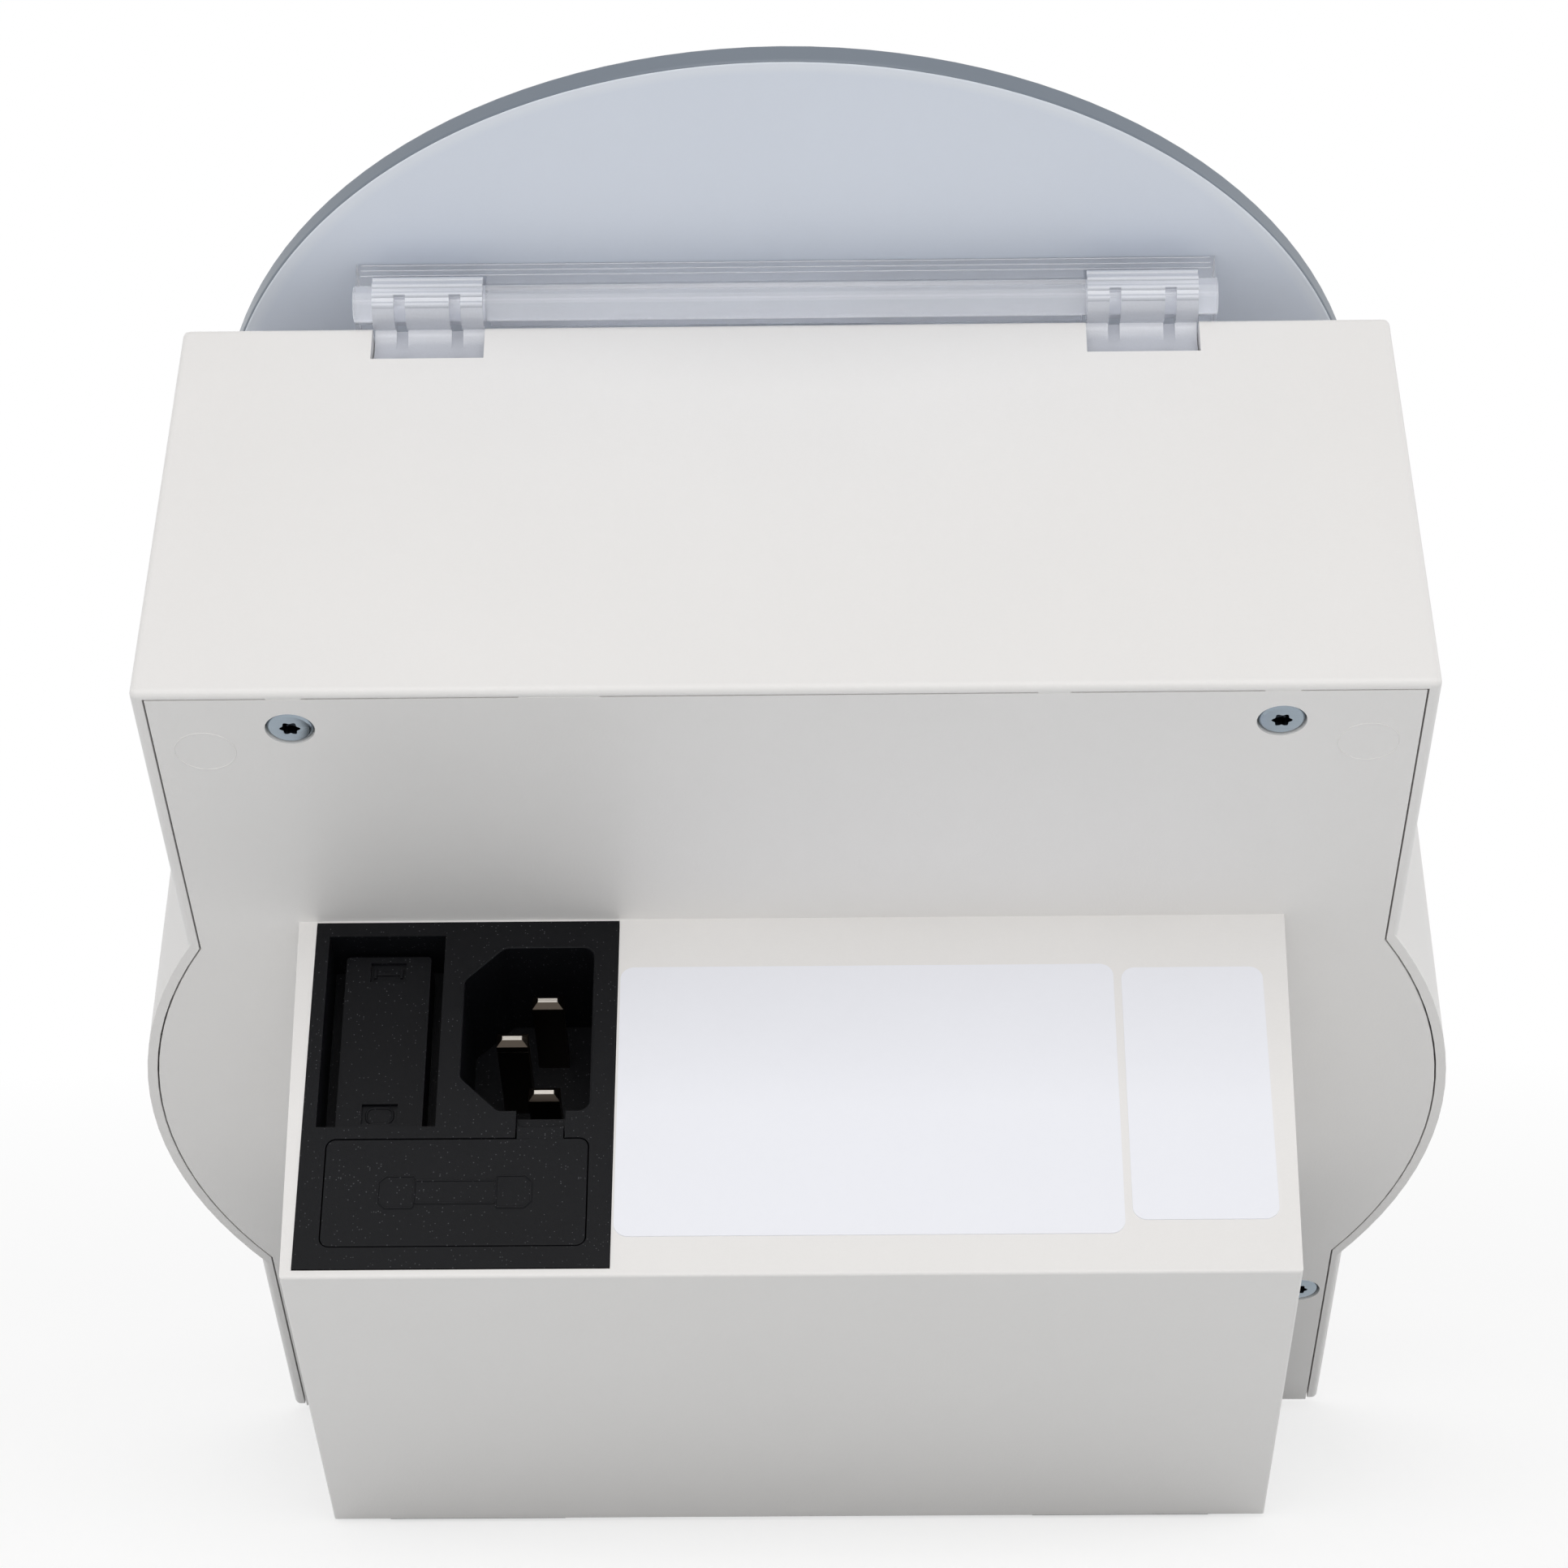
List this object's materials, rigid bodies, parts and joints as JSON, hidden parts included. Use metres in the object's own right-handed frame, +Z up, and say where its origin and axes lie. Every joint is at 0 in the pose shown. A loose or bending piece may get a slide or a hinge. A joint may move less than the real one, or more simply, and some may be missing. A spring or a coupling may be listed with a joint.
{
  "type": "dental capsule mixer",
  "caption": "Leaning white bench mixer for dental capsules with a hinged round lid, a rear box holding a fused mains inlet, and a belt-driven rotor with a planet cradle.",
  "frame": {"origin": "centre of the footprint, on the table", "axes": "+Z up, front (lid and panel) to -Y, inlet to +Y, +X to the viewer's right when seen from the front"},
  "size_m": [0.1804, 0.1884, 0.1939],
  "materials": {
    "housing_white": "fine moulded texture, warm white",
    "zinc_steel": "bright zinc plating",
    "foot_rubber": "matte grey",
    "sheet_steel": "galvanised sheet",
    "bowl_grey": "smooth grey",
    "seal_rubber": "matte dark grey",
    "bearing_steel": "ground steel",
    "aluminium": "turned aluminium",
    "belt_rubber": "matte black",
    "motor_grey": "semi-gloss grey",
    "bronze": "sintered bronze",
    "brass": "turned brass",
    "cradle_black": "satin black",
    "panel_grey": "satin blue-grey foil",
    "window_clear": "clear smoked window",
    "board_green": "glass-epoxy board",
    "switch_black": "moulded black",
    "display_glass": "display glass",
    "button_green": "satin green",
    "button_grey": "satin light grey",
    "magnet_steel": "nickel plating",
    "lid_silver": "silver blue-grey lacquer",
    "clear_plastic": "clear polycarbonate",
    "frosted_plastic": "frosted clear polycarbonate",
    "module_black": "fine grained black",
    "pin_steel": "nickel plating",
    "fuse_glass": "glass tube fuse",
    "label_white": "blank printed film",
    "capacitor_black": "sleeved can",
    "choke_copper": "enamelled copper"
  },
  "bodies": {
    "machine": {"housing": "housing_white", "rear_cover": "housing_white", "cover_screws": "zinc_steel", "chassis_screws": "zinc_steel", "board_screws": "zinc_steel", "motor_screws": "zinc_steel", "box_feet": "foot_rubber", "housing_feet": "foot_rubber", "chassis_plate": "sheet_steel", "chamber_bowl": "bowl_grey", "lid_gasket": "seal_rubber", "rear_bearing": "bearing_steel", "front_bearing": "bearing_steel", "bearing_spacer": "sheet_steel", "sun_pulley_flange": "aluminium", "drive_belt": "belt_rubber", "motor": "motor_grey", "control_panel": "panel_grey", "display_window": "window_clear", "control_board": "board_green", "key_switches": "switch_black", "display": "display_glass", "lid_sensor": "switch_black", "left_hinge_clip": "frosted_plastic", "right_hinge_clip": "frosted_plastic", "inlet_module": "module_black", "inlet_pins": "pin_steel", "selector_insert": "module_black", "rating_label": "label_white", "service_label": "label_white", "power_board": "board_green", "capacitor": "capacitor_black", "choke": "choke_copper"},
    "lid_assembly": {"lid": "lid_silver", "hinge_bar": "clear_plastic", "hinge_rod": "clear_plastic", "lid_magnet": "magnet_steel"},
    "rotor": {"spindle": "bearing_steel", "spindle_pulley": "aluminium", "rotor_disc": "aluminium", "planet_bush": "bronze", "balance_weight": "brass", "rotor_nut": "zinc_steel", "planet_belt": "belt_rubber"},
    "planet": {"planet_shaft": "bearing_steel", "planet_pulley": "aluminium", "capsule_cradle": "cradle_black"},
    "jaw": {"sliding_jaw": "cradle_black"},
    "motor_rotor": {"motor_shaft": "bearing_steel", "motor_pulley": "aluminium"},
    "drawer": {"fuse_drawer": "module_black", "fuses": "fuse_glass"},
    "start_key": {"start_button": "button_green"},
    "time_down_key": {"time_down_button": "button_grey"},
    "time_up_key": {"time_up_button": "button_grey"}
  },
  "joints": [
    {"name": "lid_hinge", "type": "hinge", "parent": "machine", "child": "lid_assembly", "pos_m": [0, 0.05756, 0.16426], "axis": [-1, 0, 0], "range_deg": [0, 95]},
    {"name": "rotor_spin", "type": "hinge", "parent": "machine", "child": "rotor", "pos_m": [0, 0.01824, 0.10878], "axis": [0, -0.6097, 0.7927], "continuous": true},
    {"name": "planet_spin", "type": "hinge", "parent": "rotor", "child": "planet", "pos_m": [0, 0.00278, 0.09689], "axis": [0, -0.6097, 0.7927], "continuous": true},
    {"name": "motor_spin", "type": "hinge", "parent": "machine", "child": "motor_rotor", "pos_m": [-0.027, 0.0216, 0.071], "axis": [0, -0.6097, 0.7927], "continuous": true},
    {"name": "jaw_slide", "type": "slide", "parent": "planet", "child": "jaw", "axis": [1, 0, 0], "range_m": [0, 0.0035], "stiffness_N_per_m": 400},
    {"name": "fuse_drawer_slide", "type": "slide", "parent": "machine", "child": "drawer", "axis": [0, 0.7927, 0.6097], "range_m": [0, 0.015]},
    {"name": "start_press", "type": "slide", "parent": "machine", "child": "start_key", "axis": [0, 0.6097, -0.7927], "range_m": [0, 0.0008], "stiffness_N_per_m": 500},
    {"name": "time_down_press", "type": "slide", "parent": "machine", "child": "time_down_key", "axis": [0, 0.6097, -0.7927], "range_m": [0, 0.0008], "stiffness_N_per_m": 500},
    {"name": "time_up_press", "type": "slide", "parent": "machine", "child": "time_up_key", "axis": [0, 0.6097, -0.7927], "range_m": [0, 0.0008], "stiffness_N_per_m": 500}
  ],
  "couplings": [
    {"joint": "planet_spin", "follows": "rotor_spin", "ratio": -2},
    {"joint": "motor_spin", "follows": "rotor_spin", "ratio": 2.5}
  ]
}
